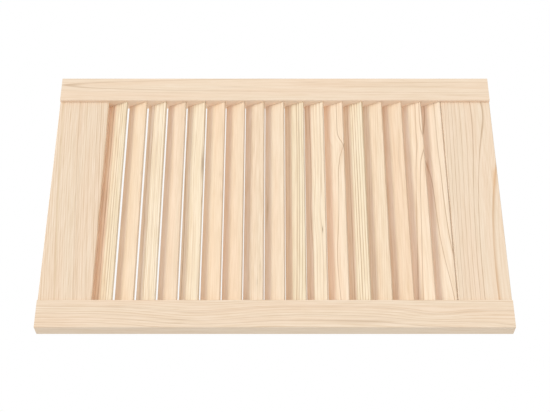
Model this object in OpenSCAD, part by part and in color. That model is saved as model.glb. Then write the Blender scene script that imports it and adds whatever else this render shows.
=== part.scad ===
// Louvered cabinet door of bare pine, lying on its back with its front face up.
// Two full-length stiles hold two rails and a row of slanted louvres that don't move.
// X runs down the door from the top rail to the bottom rail, Y runs across the door
// and Z is its thickness. The origin is the middle of the back face.

/* [Door] */
// Height of the door, along X
door_h = 615; // [540:1:900]
// Width of the door, along Y
door_w = 394; // [250:1:600]
// Thickness of the stiles, and so of the whole door
door_t = 21; // [19:0.5:28]

/* [Stiles and rails] */
// Width of each stile
stile_w = 39; // [30:0.5:80]
// Width of each rail
rail_w = 69.5; // [50:0.5:110]
// Step from the stiles' front faces down to the rails' front faces
rail_step = 4.5; // [0.5:0.5:6]
// Bevel that eases the long edges of the stiles and rails
board_ease = 0.6; // [0.2:0.1:1.5]

/* [Louvres] */
// Width of a louvre, measured on its slope
louvre_w = 29.2; // [22:0.1:32]
// Thickness of a louvre
louvre_t = 3.8; // [3:0.1:6]
// Slope of the louvres from the plane of the door
louvre_angle = 28; // [15:1:35]
// Distance from one louvre to the next that the even spacing aims at
louvre_pitch = 28; // [20:0.5:40]
// Gap between an end louvre and the rail beside it
louvre_rail_gap = 0.2; // [0.1:0.1:3]
// Height of the louvres' low edges above the back face
louvre_set_in = 0.7; // [0.3:0.1:1.5]
// Bevel that eases the long edges of a louvre
louvre_ease = 0.3; // [0.1:0.1:1]

/* [Housings] */
// How far each end of a louvre reaches into its stile
louvre_tongue = 6; // [3:0.5:12]
// Spare depth of a housing beyond the end of the louvre
housing_spare = 0.5; // [0.1:0.1:2]
// Clearance between a louvre and the walls of its housing
housing_fit = 0.1; // [0.05:0.05:0.3]

/* [Corner dowels] */
// Diameter of the dowels that join the rails to the stiles
dowel_d = 6; // [4:0.5:10]
// Length of a dowel, half of it in each board
dowel_l = 30; // [20:1:50]
// Distance between the two dowels of a corner
dowel_spacing = 36; // [16:1:40]
// Radial clearance of a dowel in its bore
dowel_fit = 0.05; // [0.02:0.01:0.15]
// Spare depth of a bore beyond the end of the dowel
bore_spare = 1; // [0.5:0.5:3]
// Bevel on the ends of a dowel
dowel_bevel = 0.8; // [0.4:0.1:1.5]

/* [Hidden] */
$fn = 48;

// The opening between the stiles and the rails, and the rails' own thickness
opening_w = door_w - 2 * stile_w;
opening_h = door_h - 2 * rail_w;
rail_t = door_t - rail_step;

// Room that one louvre takes along X, and the even spacing that fills the opening
louvre_run = louvre_w * cos(louvre_angle) + louvre_t * sin(louvre_angle);
louvre_span = opening_h - 2 * louvre_rail_gap - louvre_run;
louvre_count = round(louvre_span / louvre_pitch) + 1;
louvre_step = louvre_span / (louvre_count - 1);

// X of the lowest corner of louvre i, counted from 1 beside the top rail
function louvre_x(i) = -opening_h / 2 + louvre_rail_gap + louvre_t * sin(louvre_angle)
    + (i - 1) * louvre_step;

function louvre_name(i) = str("louvre_", i < 10 ? "0" : "", i);

// Pine as it shows in daylight: the boards differ a little in tone
stile_pine = [0.94, 0.86, 0.76];
rail_pine = [0.95, 0.85, 0.75];
louvre_pines = [[0.96, 0.90, 0.76], [0.98, 0.88, 0.77], [0.97, 0.91, 0.79], [0.96, 0.86, 0.76]];
beech = [0.84, 0.68, 0.50];

// Section of a board with its corner at the origin and its four long edges eased
module eased_section(w, t, ease) {
    polygon([
        [ease, 0], [w - ease, 0], [w, ease], [w, t - ease],
        [w - ease, t], [ease, t], [0, t - ease], [0, ease]
    ]);
}

// Prism along Y with the section of a louvre, larger all round by grow
module louvre_prism(i, length, grow = 0) {
    translate([louvre_x(i), 0, louvre_set_in])
        rotate([90, 0, 0])
            linear_extrude(height = length, center = true)
                rotate(louvre_angle)
                    translate([-grow, -grow])
                        eased_section(louvre_w + 2 * grow, louvre_t + 2 * grow, louvre_ease);
}

// Places children at the dowels of one end of the door, on the joint line at Y = 0
module at_dowels(end) {
    for (side = [-1, 1])
        translate([end * (door_h - rail_w) / 2 + side * dowel_spacing / 2, 0, rail_t / 2])
            rotate([90, 0, 0])
                children();
}

// Blind bore that runs into both boards of a corner joint
module dowel_bore() {
    cylinder(h = dowel_l + 2 * bore_spare, r = dowel_d / 2 + dowel_fit, center = true);
}

// Dowel with bevelled ends, along Z
module dowel() {
    r = dowel_d / 2;
    rotate_extrude()
        polygon([
            [0, -dowel_l / 2], [r - dowel_bevel, -dowel_l / 2], [r, dowel_bevel - dowel_l / 2],
            [r, dowel_l / 2 - dowel_bevel], [r - dowel_bevel, dowel_l / 2], [0, dowel_l / 2]
        ]);
}

// Stile with its inner edge at Y = 0, housed for the louvres and bored for the dowels
module stile() {
    difference() {
        rotate([90, 0, 90])
            linear_extrude(height = door_h, center = true)
                eased_section(stile_w, door_t, board_ease);
        for (i = [1 : louvre_count])
            louvre_prism(i, 2 * (louvre_tongue + housing_spare), housing_fit);
        for (end = [-1, 1])
            at_dowels(end) dowel_bore();
    }
}

module right_stile() {
    color(stile_pine)
        translate([0, opening_w / 2, 0])
            stile();
}

module left_stile() {
    color(stile_pine)
        mirror([0, 1, 0])
            translate([0, opening_w / 2, 0])
                stile();
}

// Rail between the stiles, flush with their backs and bored at both ends
module rail(end) {
    difference() {
        translate([end * (door_h - rail_w) / 2 - rail_w / 2, 0, 0])
            rotate([90, 0, 0])
                linear_extrude(height = opening_w, center = true)
                    eased_section(rail_w, rail_t, board_ease);
        for (side = [-1, 1])
            translate([0, side * opening_w / 2, 0])
                at_dowels(end) dowel_bore();
    }
}

module top_rail() {
    color(rail_pine) rail(-1);
}

module bottom_rail() {
    color(rail_pine) rail(1);
}

// Louvre i, sloping up towards the bottom rail, with both ends in the stiles
module louvre(i) {
    color(louvre_pines[i % len(louvre_pines)])
        louvre_prism(i, opening_w + 2 * louvre_tongue);
}

module corner_dowels() {
    color(beech)
        for (end = [-1, 1], side = [-1, 1])
            translate([0, side * opening_w / 2, 0])
                at_dowels(end) dowel();
}

left_stile();
right_stile();
top_rail();
bottom_rail();
corner_dowels();
for (i = [1 : louvre_count])
    louvre(i);
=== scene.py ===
import bpy
from math import radians
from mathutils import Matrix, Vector

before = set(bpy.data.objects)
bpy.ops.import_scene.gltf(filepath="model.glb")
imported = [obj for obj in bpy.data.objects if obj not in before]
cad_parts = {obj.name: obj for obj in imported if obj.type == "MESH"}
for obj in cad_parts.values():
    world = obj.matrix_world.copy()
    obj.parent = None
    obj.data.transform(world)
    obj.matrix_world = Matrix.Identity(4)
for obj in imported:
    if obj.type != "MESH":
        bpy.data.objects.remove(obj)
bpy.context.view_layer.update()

white = (1.0, 1.0, 1.0, 1.0)
scene = bpy.context.scene
scene.view_settings.view_transform = "Standard"

lens = bpy.data.cameras.new("camera")
lens.sensor_width = 36.0
lens.lens = 75.18
camera = bpy.data.objects.new("camera", lens)
camera.location = (0.0002, -0.8062, 1.361)
camera.rotation_euler = (radians(30.48), 0.0, 0.0)
scene.collection.objects.link(camera)
scene.camera = camera

# The table lies a hair under the door's back. It glows, so that it stays pure white, and it
# is clear from below, so that the door's back can be looked at.
reach, drop = 9.0, 0.0004
sheet = bpy.data.meshes.new("white_table")
sheet.from_pydata([(-reach, -reach, -drop), (reach, -reach, -drop),
                   (reach, reach, -drop), (-reach, reach, -drop)], [], [(0, 1, 2, 3)])
table = bpy.data.objects.new("white_table", sheet)
scene.collection.objects.link(table)
glow = bpy.data.materials.new("white_table")
glow.use_nodes = True
glow.node_tree.nodes.clear()
shine = glow.node_tree.nodes.new("ShaderNodeEmission")
shine.inputs["Color"].default_value = white
shine.inputs["Strength"].default_value = 1.0
below = glow.node_tree.nodes.new("ShaderNodeNewGeometry")
clear = glow.node_tree.nodes.new("ShaderNodeBsdfTransparent")
sides = glow.node_tree.nodes.new("ShaderNodeMixShader")
surface = glow.node_tree.nodes.new("ShaderNodeOutputMaterial")
for out, into in ((below.outputs["Backfacing"], sides.inputs[0]),
                  (shine.outputs["Emission"], sides.inputs[1]),
                  (clear.outputs["BSDF"], sides.inputs[2]),
                  (sides.outputs["Shader"], surface.inputs["Surface"])):
    glow.node_tree.links.new(out, into)
sheet.materials.append(glow)

# The room's walls are half as bright as its ceiling.
level, overhead = 0.49, 0.99
room = bpy.data.worlds.new("white_room")
room.use_nodes = True
scene.world = room
walls = room.node_tree.nodes["Background"]
walls.inputs["Color"].default_value = white
compass = room.node_tree.nodes.new("ShaderNodeTexCoord")
upward = room.node_tree.nodes.new("ShaderNodeSeparateXYZ")
ceiling = room.node_tree.nodes.new("ShaderNodeMath")
ceiling.operation = "MULTIPLY_ADD"
ceiling.inputs[1].default_value = overhead - level
ceiling.inputs[2].default_value = level
for out, into in ((compass.outputs["Generated"], upward.inputs["Vector"]),
                  (upward.outputs["Z"], ceiling.inputs[0]),
                  (ceiling.outputs["Value"], walls.inputs["Strength"])):
    room.node_tree.links.new(out, into)

towards_window = Vector((-0.76, 0.10, 0.573))
window = bpy.data.lights.new("window", "SUN")
window.energy = 1.24
window.angle = radians(22)
window.color = (1.0, 0.99, 0.97)
window_light = bpy.data.objects.new("window", window)
window_light.rotation_mode = "QUATERNION"
window_light.rotation_quaternion = towards_window.to_track_quat("Z", "Y")
scene.collection.objects.link(window_light)

# ---- Left stile ------------------------------------------------------------------------
# The long board at the near edge, planed pine with its long arrises eased. It is housed
# for the ends of the louvres and bored for the dowels that hold both rails.


def soften(board, radius):
    """Rounds every arris of a planed board the last little bit, as sandpaper does."""
    weld = board.modifiers.new("weld", "WELD")
    weld.merge_threshold = 0.00001
    rounded = board.modifiers.new("rounded", "BEVEL")
    rounded.width = radius
    rounded.segments = 2
    rounded.limit_method = "ANGLE"
    rounded.angle_limit = radians(25)
    board.modifiers.new("normals", "WEIGHTED_NORMAL").keep_sharp = True


brown = (0.50, 0.335, 0.20)


def pine(name, at, turn, pith, lean=(0.0, 0.0), bow=(0.0, 0.0), ring=3.0, uneven=0.3,
         depth=1.0, wave=1.0, streaks=1.0, swirls=(), bold=(), marks=(),
         tone=(1.0, 1.0, 1.0), seed=0.0, end_grain=False, painted_side_light=None):
    """Solid pine sawn from a trunk. Its lengths are millimetres in the board's own axes,
    u along the grain, v across the face and w up out of it, from the middle of its face.

    at, turn     where that middle is in the door, in metres, and how the board is turned
    pith         (v, w) of the heart of the trunk at u = 0
    lean, bow    how the heart wanders from there along the board
    ring         width of a year's ring, and uneven says how much that varies
    depth        how dark the rings are, wave how they waver, streaks how plain streaks are
    swirls       (u, v, reach_u, reach_v, push) where a knot pushed the grain aside
    bold         (radius, width, strength) of a single strong ring, and its colour if not brown
    marks        (u, v, half_u, half_v, strength) of a stain, also used for a painted light
             spot, and its colour if not brown
    tone         colour of the whole board against plain pine
    seed         which piece of the endless wood this board is cut from
    end_grain    True where the board's sawn ends show
    painted_side_light  (v_full, v_none, tint) painted light and shade on one side of the
             board: all of the tint beyond v_full, and none beyond v_none
    """
    wood = bpy.data.materials.new(name)
    wood.use_nodes = True
    tree = wood.node_tree
    tree.nodes.clear()

    def add(kind, feeds, **settings):
        made = tree.nodes.new("ShaderNode" + kind)
        for key, value in settings.items():
            setattr(made, key, value)
        for socket, value in feeds.items():
            if isinstance(value, bpy.types.NodeSocket):
                tree.links.new(value, made.inputs[socket])
            else:
                made.inputs[socket].default_value = value
        return made

    def calc(operation, *values):
        return add("Math", dict(enumerate(values)), operation=operation).outputs[0]

    def ease(value, low, high, start=0.0, end=1.0):
        return add("MapRange", {"Value": value, "From Min": low, "From Max": high,
                                "To Min": start, "To Max": end},
                   interpolation_type="SMOOTHSTEP").outputs["Result"]

    def noise(length, width, detail=2.0, shift=0.0):
        laid = add("Mapping", {"Vector": place,
                               "Location": (seed + shift, seed * 1.7, shift * 2.3),
                               "Scale": (1 / length, 1 / width, 1 / width)}).outputs["Vector"]
        return add("TexNoise", {"Vector": laid, "Scale": 1.0, "Detail": detail,
                                "Roughness": 0.5}).outputs["Fac"]

    def blend(factor, first, second, kind="MIX"):
        return add("Mix", {0: factor, 6: first, 7: second}, data_type="RGBA",
                   blend_type=kind).outputs[2]

    def tinted(first, tint):
        return blend(1.0, first, tint, "MULTIPLY")

    def paint(own):
        return (*(own[0] if own else brown), 1.0)

    def hill(at_u, at_v, reach_u, reach_v, height):
        away_u = calc("DIVIDE", calc("SUBTRACT", u, at_u), reach_u)
        away_v = calc("DIVIDE", calc("SUBTRACT", across, at_v), reach_v)
        away = calc("MULTIPLY_ADD", away_u, away_u, calc("MULTIPLY", away_v, away_v))
        return calc("MULTIPLY", calc("EXPONENT", calc("MULTIPLY", away, -1.0)), height)

    # The point in the board, in millimetres, and the grain's v where a swirl moves it
    corner = add("TexCoord", {}).outputs["Object"]
    place = add("Mapping", {"Vector": corner, "Location": at, "Rotation": turn,
                            "Scale": (0.001, 0.001, 0.001)},
                vector_type="TEXTURE").outputs["Vector"]
    u, across, w = add("SeparateXYZ", {"Vector": place}).outputs
    v = across
    for swirl in swirls:
        v = calc("SUBTRACT", v, hill(*swirl))

    # Distance from the heart of the trunk, wavering as the trunk grew
    heart_v = calc("MULTIPLY_ADD", calc("MULTIPLY_ADD", u, bow[0], lean[0]), u, pith[0])
    heart_w = calc("MULTIPLY_ADD", calc("MULTIPLY_ADD", u, bow[1], lean[1]), u, pith[1])
    dv, dw = calc("SUBTRACT", v, heart_v), calc("SUBTRACT", w, heart_w)
    radius = calc("SQRT", calc("MULTIPLY_ADD", dv, dv, calc("MULTIPLY", dw, dw)))
    broad = noise(length=110, width=20, detail=1.0)
    narrow = noise(length=30, width=4, shift=5.1)
    for waver, sway in ((broad, 1.6 * wave), (narrow, 0.8 * wave)):
        radius = calc("MULTIPLY_ADD", calc("SUBTRACT", waver, 0.5), sway, radius)

    # Rings of uneven width: a good year and a lean one follow each other at random
    turns = calc("DIVIDE", radius, ring)
    fortune = calc("MULTIPLY_ADD", turns, 0.45, seed)
    drift = add("TexNoise", {"W": fortune, "Scale": 1.0, "Detail": 1.0},
                noise_dimensions="1D").outputs["Fac"]
    turns = calc("MULTIPLY_ADD", calc("SUBTRACT", drift, 0.5), 2.4 * uneven, turns)
    year, season = calc("FLOOR", turns), calc("FRACT", turns)

    # Each darkens from pale early wood to late wood, which ends sharply with the year. Some
    # years are fainter than others, and all fade here and there along the board.
    darkening, full, winter, spring = 0.42, 0.88, 0.90, 1.0
    late = calc("MULTIPLY", ease(season, darkening, full), ease(season, winter, spring, 1.0, 0.0))
    luck = add("TexWhiteNoise", {"W": calc("ADD", year, seed)},
               noise_dimensions="1D").outputs["Value"]
    late = calc("MULTIPLY", late, calc("MULTIPLY_ADD", luck, 0.6, 0.4))
    patchy = noise(length=80, width=8, shift=9.4)
    late = calc("MULTIPLY", late, ease(patchy, 0.25, 0.7, 0.45 * depth, depth))
    if end_grain:
        normal = add("NewGeometry", {}).outputs["Normal"]
        facing = calc("ABSOLUTE", add("SeparateXYZ", {"Vector": normal}).outputs["X"])
        cut = ease(facing, 0.55, 0.9)
        late = calc("MULTIPLY", late, calc("MULTIPLY_ADD", cut, 0.6 / depth, 1.0))

    # Colour of the rings, then the bold ones, sharper outwards, and the stains, among them a
    # painted light spot
    red, green, blue = tone
    early_wood = (0.868 * red, 0.714 * green, 0.552 * blue, 1.0)
    late_wood = (0.635 * red, 0.428 * green, 0.248 * blue, 1.0)
    colour = blend(late, early_wood, late_wood)
    for line, width, strength, *own in bold:
        outer = line + 0.35 * width
        band = calc("MULTIPLY", ease(radius, line - width, line),
                    ease(radius, line, outer, strength, 0.0))
        band = calc("MULTIPLY", band, ease(patchy, 0.2, 0.6, 0.6, 1.0))
        colour = blend(band, colour, paint(own))
        late = calc("MAXIMUM", late, band)
    for at_u, at_v, half_u, half_v, strength, *own in marks:
        colour = blend(hill(at_u, at_v, half_u, half_v, strength), colour, paint(own))

    # Broad rosy patches, streaks between the rings, fibres, and the little ducts of resin.
    # What is darker is browner too.
    patch = noise(length=210, width=16, detail=1.0, shift=17.9)
    streak = noise(length=42, width=1.5, detail=3.0, shift=7.7)
    fibre = noise(length=16, width=0.28, shift=2.7)
    duct = ease(noise(length=6, width=0.2, detail=1.0, shift=13.2), 0.70, 0.80)
    rosy = tinted(colour, (1.0, 0.970, 0.955, 1))
    colour = blend(ease(patch, 0.3, 0.7), rosy, colour)
    grey = ease(streak, 0.25, 0.75, 1.0 - 0.10 * streaks, 1.0 + 0.05 * streaks)
    grey = calc("MULTIPLY", grey, ease(fibre, 0.2, 0.8, 0.96, 1.03))
    grey = calc("MULTIPLY", grey, calc("MULTIPLY_ADD", duct, -0.16, 1.0))
    shade = add("CombineXYZ", {"X": calc("POWER", grey, 0.7), "Y": grey,
                               "Z": calc("POWER", grey, 1.5)}).outputs["Vector"]
    colour = tinted(colour, shade)
    # Painted light and shade: a tint makes one side of the board lighter or darker, standing in for
    # how the light falls there
    if painted_side_light:
        v_full, v_none, tint = painted_side_light
        side = ease(across, v_full, v_none, 1.0, 0.0)
        colour = blend(side, colour, tinted(colour, (*tint, 1)))
    if end_grain:
        thirsty = (0.90, 0.83, 0.74, 1)
        colour = blend(cut, colour, tinted(colour, thirsty))

    # The plane leaves late wood and fibres proud by hundredths of a millimetre, and late
    # wood shinier
    height = calc("MULTIPLY", fibre, 0.6)
    height = calc("MULTIPLY_ADD", late, 0.5, height)
    height = calc("MULTIPLY_ADD", streak, 0.3, height)
    relief = add("Bump", {"Strength": 0.5, "Distance": 0.00008,
                          "Height": height}).outputs["Normal"]
    rough = calc("MULTIPLY_ADD", late, -0.10, ease(fibre, 0.2, 0.8, 0.58, 0.70))
    skin = add("BsdfPrincipled", {"Base Color": colour, "Roughness": rough, "Normal": relief,
                                  "IOR": 1.45, "Specular IOR Level": 0.35})
    add("OutputMaterial", {"Surface": skin.outputs["BSDF"]})
    return wood


def dress(board, wood):
    """Gives a packed board its wood in place of the plain colour that it came with."""
    board.data.materials.clear()
    board.data.materials.append(wood)


lengthways = (0.0, 0.0, 0.0)
stile_y, stile_face = 0.1775, 0.021     # a stile's middle line, and its face above its back
# A stile's side carries a painted light and shade tint, full at -19.5 mm and gone by -19.1 mm
stile_side = (-19.5, -19.1)             # the stile's side, and where a tint of it ends
sanded = 0.00025                        # radius that sandpaper leaves
left_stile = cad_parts["left_stile"]
left_pine = pine("pine_left_stile", at=(0.0, -stile_y, stile_face), turn=lengthways,
                 pith=(-36.1, -43.1), lean=(0.0144, -0.0231), bow=(0.000018, -0.000037),
                 swirls=[(-100.6, -6.4, 83.5, 27.2, -9.8), (205.3, -2.5, 50.1, 11.5, -8.2)],
                 ring=2.1, depth=0.5, streaks=0.8,
                 bold=[(47.6, 0.7, 0.35), (51.9, 0.8, 0.45), (55.65, 0.7, 0.4),
                       (63.8, 0.8, 0.35)],
                 marks=[(60, -9.6, 70, 0.8, 0.3), (112, -11.6, 36, 2.4, 0.35),
                        (-122, -8.7, 12, 0.8, 0.4), (-125, -13.4, 12, 0.8, 0.3),
                        (-203, 9.3, 14, 0.7, 0.3)],
                 # Painted shade: the stile's outer side at the near edge is tinted darker, where
                 # less light falls
                 seed=3.1, end_grain=True, painted_side_light=(*stile_side, (0.95, 0.97, 0.98)))
soften(left_stile, sanded)
dress(left_stile, left_pine)

# ---- Right stile -----------------------------------------------------------------------
# The same board at the far edge, handed, and housed and bored like its fellow. It is pine
# from nearer the heart of the trunk, so its rings close in a long pointed tongue near the
# top rail.
right_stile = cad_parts["right_stile"]
right_pine = pine("pine_right_stile", at=(0.0, stile_y, stile_face), turn=lengthways,
                  pith=(7.2, -80.0), lean=(0.0, 0.00188), bow=(0.0, -0.00000295),
                  ring=1.0, depth=0.2, wave=0.08, streaks=0.7,
                  bold=[(80.851, 0.12, 0.5), (81.45, 0.12, 0.3)],
                  marks=[(49, 12.5, 16, 0.9, 0.3), (-62, 4.1, 20, 0.7, 0.35),
                         (205, 12.4, 95, 0.6, 0.3), (190, 5.2, 85, 0.6, 0.28),
                         (268, -11.0, 28, 0.7, 0.25), (-182, -11.0, 30, 0.6, 0.3),
                         (-297, 7.0, 14, 0.6, 0.25)],
                  # Painted light: the stile's inner side, in shade beside the louvres, is tinted
                  # lighter
                  seed=8.3, end_grain=True, painted_side_light=(*stile_side, (1.10, 1.09, 1.12)))
soften(right_stile, sanded)
dress(right_stile, right_pine)

# ---- Top rail --------------------------------------------------------------------------
# The short pine board at the left, dowelled between the stiles. It is four and a half
# millimetres thinner than they are and flush with their backs, and its quiet straight
# grain runs across the door.
crossways = (0.0, 0.0, radians(90))
rail_x, rail_face = 0.27275, 0.0165     # a rail's middle line, and its face above its back
# The rail's side towards the louvres carries a painted light tint
rail_side = (-34.75, -34.35)            # the rail's side towards the louvres
honey = (0.62, 0.47, 0.24)
top_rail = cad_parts["top_rail"]
top_pine = pine("pine_top_rail", at=(-rail_x, 0.0, rail_face), turn=crossways,
                pith=(95.1, -43.4), lean=(0.060, 0.0082), bow=(-0.000055, 0.00002),
                ring=2.7, uneven=0.25, depth=0.75, wave=0.35,
                bold=[(84.5, 1.3, 0.45, honey), (100.9, 0.6, 0.3), (105.7, 1.0, 0.5),
                      (109.2, 0.7, 0.45), (119.9, 0.6, 0.35), (129.6, 0.7, 0.4),
                      (134.0, 0.8, 0.45)],
                # Painted light: the rail's side towards the louvres, in shade, is tinted lighter
                seed=5.7, painted_side_light=(*rail_side, (1.12, 1.12, 1.13)))
soften(top_rail, sanded)
dress(top_rail, top_pine)

# ---- Bottom rail -----------------------------------------------------------------------
# Its fellow at the right, dowelled in the same way and slab sawn: wide bold rings with a
# line of orange resin along the outer edge, and close rings towards the louvres.
amber, resin = (0.64, 0.41, 0.23), (0.76, 0.49, 0.28)
bottom_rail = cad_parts["bottom_rail"]
bottom_pine = pine("pine_bottom_rail", at=(rail_x, 0.0, rail_face), turn=crossways,
                   pith=(-55.0, -60.0), lean=(-0.0333, 0.020), bow=(0.000001, -0.000030),
                   swirls=[(92.6, -40.0, 133.9, 44.8, -14.0),
                           (164.7, -34.0, 111.2, 19.9, -14.0)],
                   ring=1.9, uneven=0.25, depth=0.25, wave=0.1, streaks=0.8,
                   bold=[(71.4, 1.7, 0.8, amber), (81.26, 0.6, 0.8), (84.85, 0.7, 0.75),
                         (89.0, 0.7, 0.45), (93.24, 0.7, 0.6), (97.3, 0.7, 0.5),
                         (100.56, 0.8, 0.55), (104.2, 0.8, 0.5), (107.6, 0.8, 0.5)],
                   marks=[(37, -30.3, 9, 2.3, 0.6, resin), (24, -28.6, 10, 2.1, 0.6, resin),
                          (10, -26.9, 10, 1.6, 0.45, resin)],
                   seed=2.2)
soften(bottom_rail, sanded)
dress(bottom_rail, bottom_pine)

# ---- Louvres ---------------------------------------------------------------------------
# Seventeen thin pine slats, planed to one section from many boards, so no two have the
# same grain. Each is pushed into slanted housings in both stiles.
first_foot, pitch = -0.236016, 0.0280021     # foot of louvre 1, and from each to the next
face_x, face_z = 0.011107, 0.010909          # middle of a louvre's face from its foot
slope = (radians(-28), 0.0, radians(90))
rubbed = 0.00015

# Colours of the stains and of a painted light spot, and the painted light and shade tints
# that give the shaded lower side of a face, behind the next louvre, the warm colour of
# light bounced between louvres
dark, grey, umber = (0.30, 0.20, 0.12), (0.45, 0.36, 0.27), (0.46, 0.32, 0.15)
rust, tan, straw = (0.58, 0.34, 0.21), (0.75, 0.55, 0.33), (0.7, 0.52, 0.3)
# The last colour on the next line is painted light: a pale spot that lifts the deep shade in the
# corner of louvre 1 at the far stile
knot, knot_tail, painted_corner_light = (0.70, 0.50, 0.33), (0.62, 0.42, 0.26), (1.0, 0.82, 0.63)
# Painted light and shade: tints for the shaded lower part of a louvre's face, full from v_full down
# to its foot
painted_warm_shade, painted_rosy_shade = (7, 3.5, (1.037, 1.01, 1.063)), (6.5, 2.5, (1.02, 0.90, 0.90))

slat_grain = {
    # Louvre 1's own painted light tint lifts the deep shade on the lower side of its face, by the
    # top rail
    1: dict(tone=(0.975, 1.025, 0.993), painted_side_light=(6, 2, (1.13, 1.02, 1.03)), pith=(60, -30),
            ring=3.6, uneven=0.2, depth=0.4, wave=0.3, streaks=1.6,
            bold=[(56.6, 0.7, 0.5), (61.0, 1.0, 0.8), (64.7, 0.7, 0.5),
                  (68.7, 0.9, 0.7), (72.3, 1.0, 0.9), (75.6, 0.8, 0.7)],
            # Painted light: a pale spot in the shaded corner at the louvre's far end
            marks=[(154, 14, 6, 2.5, 0.5, painted_corner_light)]),
    2: dict(tone=(0.970, 0.955, 0.915), painted_side_light=painted_warm_shade, pith=(10, -90), ring=3.5, depth=0.15,
            marks=[(37, -13.5, 4, 0.8, 0.4, grey)]),
    3: dict(tone=(1.007, 1.082, 1.099), painted_side_light=painted_warm_shade, pith=(58.5, -26), lean=(0.0031, -0.0054),
            bow=(-0.000022, 0.000028), ring=3.0, depth=0.7, wave=0.5, streaks=1.3,
            bold=[(55.3, 1.0, 0.8), (60.1, 0.7, 0.5), (67.2, 1.0, 0.7), (73.9, 0.8, 0.5)]),
    4: dict(tone=(0.955, 0.938, 0.918), painted_side_light=painted_warm_shade, pith=(-20, -80), lean=(0.02, 0),
            ring=3.5, depth=0.2),
    5: dict(tone=(0.994, 1.050, 1.037), painted_side_light=painted_warm_shade, pith=(58.4, -26.7), bow=(0.000032, -0.000013),
            swirls=[(49.4, -3.1, 60.4, 20.0, 3.8)], ring=3.6, depth=0.4, wave=0.25,
            bold=[(55.1, 1.2, 0.9), (61.2, 0.7, 0.4), (68.6, 0.8, 0.5), (78.6, 0.8, 0.4)],
            marks=[(53, -13.6, 22, 1.1, 0.8, dark), (-132, -12.8, 28, 1.0, 0.5)]),
    6: dict(tone=(0.970, 0.949, 0.907), painted_side_light=painted_warm_shade, pith=(0, -120), ring=4.0, depth=0.15,
            marks=[(36, -11.0, 6, 2.4, 0.22), (3, -13.0, 9, 1.6, 0.35),
                   (8, -2, 8, 4, 0.12, tan), (102, -12.7, 25, 0.8, 0.3)]),
    7: dict(tone=(0.950, 0.923, 0.880), painted_side_light=painted_warm_shade, pith=(0, -100), ring=4.0, depth=0.12),
    8: dict(tone=(0.940, 0.948, 0.937), painted_side_light=painted_warm_shade, pith=(50, -50), ring=2.4, depth=0.35,
            streaks=1.5, marks=[(-129, -6.4, 7, 0.5, 0.5, dark), (-106, -10.5, 6, 0.5, 0.4, dark)]),
    9: dict(tone=(0.960, 0.960, 0.944), painted_side_light=painted_warm_shade, pith=(30, -90), ring=3.0, depth=0.2,
            marks=[(-16, 10.4, 26, 1.6, 0.45, umber)]),
    10: dict(tone=(0.965, 1.025, 0.995), painted_side_light=painted_rosy_shade, pith=(80, -10), lean=(-0.0083, 0.0),
             bow=(0.000049, 0.0), ring=3.6, uneven=0.15, depth=0.4, wave=0.2,
             bold=[(72.9, 0.7, 0.8), (76.2, 0.6, 0.5), (80.6, 0.6, 0.4),
                   (84.8, 1.5, 0.9), (88.3, 1.9, 0.9), (92.4, 0.9, 0.9)]),
    11: dict(tone=(1.000, 1.052, 1.059), painted_side_light=painted_rosy_shade, pith=(30.6, -36.8), lean=(-0.012, -0.0136),
             bow=(0.000021, -0.00002), swirls=[(-19.3, -4.1, 36.4, 19.7, 3.6)],
             ring=2.9, depth=0.4, wave=0.3,
             bold=[(45.3, 0.8, 0.7), (49.2, 0.6, 0.5), (52.6, 0.6, 0.4), (55.7, 0.9, 0.55)],
             marks=[(-50.8, -10.3, 5, 0.6, 1.0, dark), (25, -9.6, 25, 0.8, 0.4)]),
    # Louvre 12's own painted light and shade tint on the shaded lower side of its face
    12: dict(tone=(0.995, 1.005, 1.005), painted_side_light=(6.5, 2.5, (1.09, 0.98, 0.96)), pith=(45, -30),
             swirls=[(-96, -4, 62, 40, 5.2), (59.5, -10, 11, 30, -1.7),
                     (82.6, -14, 14.3, 30, -8.3)],
             ring=7.0, depth=0.25, wave=0.15, bold=[(59.0, 1.35, 0.95)],
             marks=[(76, -11.0, 12, 2.6, 0.45, knot), (58, -8.4, 13, 1.3, 0.4, knot_tail)]),
    13: dict(tone=(0.985, 1.058, 1.044), painted_side_light=painted_rosy_shade, pith=(80, -10), lean=(0.003, 0.0),
             bow=(0.00001, 0.000012), ring=3.7, uneven=0.12, depth=0.6, wave=0.2,
             bold=[(72.9, 0.8, 0.55), (80.7, 1.0, 0.9), (84.5, 1.5, 0.9),
                   (88.2, 0.9, 0.8), (92.4, 0.8, 0.5)]),
    14: dict(tone=(0.965, 0.970, 0.948), painted_side_light=painted_warm_shade, pith=(60, -40), lean=(-0.035, 0), ring=2.8,
             uneven=0.12, depth=0.6, wave=0.25, streaks=1.1),
    15: dict(tone=(0.957, 0.930, 0.892), painted_side_light=painted_warm_shade, pith=(20, -60), ring=3.2, depth=0.35,
             wave=0.6,
             marks=[(62, -6.6, 20, 0.8, 0.4), (-136, -8.3, 10, 2, 0.3, straw),
                    (-128, 7.0, 22, 0.6, 0.35), (-136, 9.6, 18, 0.6, 0.35)]),
    16: dict(tone=(0.998, 1.003, 0.997), painted_side_light=painted_warm_shade, pith=(40.0, -38.4), lean=(-0.0297, 0.020),
             bow=(-0.000047, -0.000024), swirls=[(84.8, -19.1, 26.5, 12.0, -7.7)],
             ring=5.0, depth=0.2, wave=0.2, bold=[(54.7, 1.2, 0.8), (59.3, 1.2, 0.8)]),
    17: dict(tone=(0.981, 0.997, 1.008), painted_side_light=painted_warm_shade, pith=(45.0, -60.0), lean=(-0.0083, -0.020),
             bow=(-0.000002, -0.000002),
             swirls=[(84.5, 17.2, 45.6, 14.8, 9.5), (-178.1, -11.3, 90.4, 60.0, -14.0)],
             ring=5.0, depth=0.2, wave=0.1, bold=[(72.4, 0.9, 0.8), (80.4, 1.1, 0.9)],
             marks=[(56, 10.6, 9, 1.6, 0.5, rust), (18, 9.0, 36, 3.0, 0.35, rust)]),
}

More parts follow.
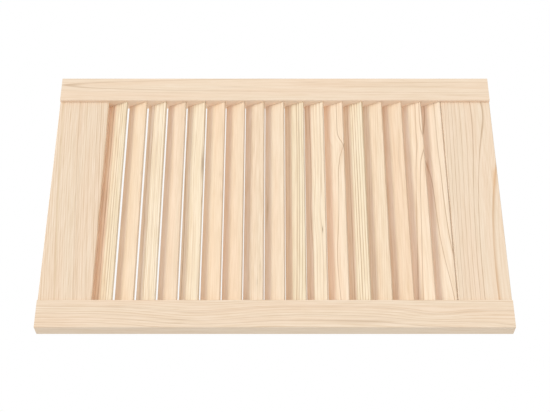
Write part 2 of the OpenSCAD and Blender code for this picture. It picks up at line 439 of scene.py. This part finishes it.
for number, grain in slat_grain.items():
    foot = first_foot + (number - 1) * pitch
    slat_pine = pine(f"pine_louvre_{number:02d}", at=(foot + face_x, 0.0, face_z), turn=slope,
                     seed=10.0 + 3.7 * number, **grain)
    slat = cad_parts[f"louvre_{number:02d}"]
    soften(slat, rubbed)
    dress(slat, slat_pine)

# ---- Corner dowels ---------------------------------------------------------------------
# Two beech dowels in each corner, glued half into the stile and half into the rail, with
# bevelled ends. They are out of sight in the closed joints.
corner_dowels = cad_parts["corner_dowels"]
beech = pine("beech_dowels", at=(0.0, 0.0, rail_face / 2), turn=crossways, pith=(0, -30),
             ring=1.2, depth=0.2, tone=(0.95, 0.82, 0.72), seed=1.0)
dress(corner_dowels, beech)
